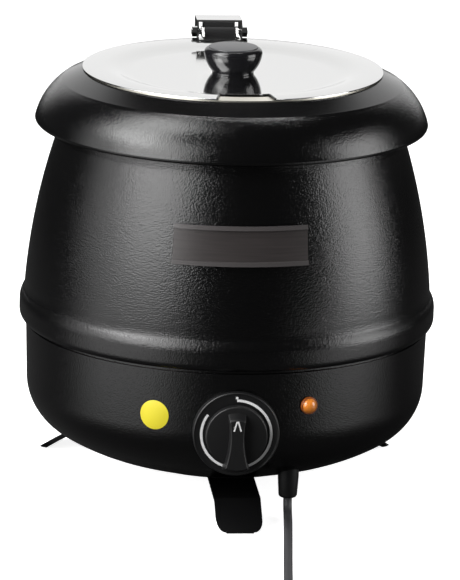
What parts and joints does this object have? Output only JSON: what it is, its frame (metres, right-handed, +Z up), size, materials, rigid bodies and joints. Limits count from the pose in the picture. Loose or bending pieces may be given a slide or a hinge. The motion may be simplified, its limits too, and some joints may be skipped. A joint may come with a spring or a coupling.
{
  "type": "soup kettle",
  "caption": "Black electric soup kettle with a lift-out pot, hinged steel lid with ladle notch, round control dial and strip feet",
  "frame": {"origin": "on the floor under the kettle's axis", "axes": "+Z up along the kettle's axis, -Y is the front with the dial, +X the viewer's right"},
  "size_m": [0.3399, 0.6196, 0.36],
  "materials": {
    "black_coat": "black powder coat with an orange-peel grain",
    "stainless": "polished stainless sheet",
    "bright_steel": "plated steel",
    "element_steel": "dull metal",
    "black_plastic": "glossy black moulding",
    "grey_cap": "grey disc",
    "smoked_plastic": "smoked clear strip",
    "amber_lens": "amber lens",
    "foot_rubber": "black rubber",
    "cord_rubber": "dark grey rubber"
  },
  "bodies": {
    "kettle": {"rim_collar": "black_coat", "outer_shell": "black_coat", "base_pan": "black_coat", "bottom_plate": "black_coat", "foot_front": "black_coat", "foot_right": "black_coat", "foot_left": "black_coat", "water_tank": "stainless", "foot_screw_front": "bright_steel", "foot_screw_right": "bright_steel", "foot_screw_left": "bright_steel", "plug_pin_one": "bright_steel", "plug_pin_two": "bright_steel", "heating_element": "element_steel", "element_clamp": "element_steel", "capillary": "element_steel", "sensor_bulb": "element_steel", "dial_bezel": "black_plastic", "thermostat_body": "black_plastic", "lamp_body": "black_plastic", "terminal_block": "black_plastic", "label_holder": "smoked_plastic", "lamp_lens": "amber_lens", "foot_pad_front": "foot_rubber", "foot_pad_right": "foot_rubber", "foot_pad_left": "foot_rubber", "cord_gland": "cord_rubber", "power_cord": "cord_rubber", "cord_coil": "cord_rubber", "coil_tie": "cord_rubber", "plug_relief": "cord_rubber", "plug_body": "cord_rubber"},
    "control_knob": {"control_knob": "black_plastic", "thermostat_shaft": "bright_steel"},
    "soup_pot": {"soup_pot": "stainless", "hinge_base": "black_plastic", "hinge_cover": "stainless", "hinge_pin": "bright_steel", "hinge_nut_right": "bright_steel", "hinge_nut_left": "bright_steel"},
    "lid": {"lid": "stainless", "lid_knob": "black_plastic", "knob_cap": "grey_cap", "knob_screw": "bright_steel", "hinge_leaf": "stainless"}
  },
  "joints": [
    {"name": "dial_turn", "type": "hinge", "parent": "kettle", "child": "control_knob", "pos_m": [0, -0.169, 0.0838], "axis": [0, 1, 0], "range_deg": [0, 300]},
    {"name": "pot_lift", "type": "slide", "parent": "kettle", "child": "soup_pot", "axis": [0, 0, 1], "range_m": [0, 0.27]},
    {"name": "lid_hinge", "type": "hinge", "parent": "soup_pot", "child": "lid", "pos_m": [-0.00443, 0.12692, 0.3462], "axis": [-0.9994, -0.0349, 0], "range_deg": [0, 88]}
  ]
}
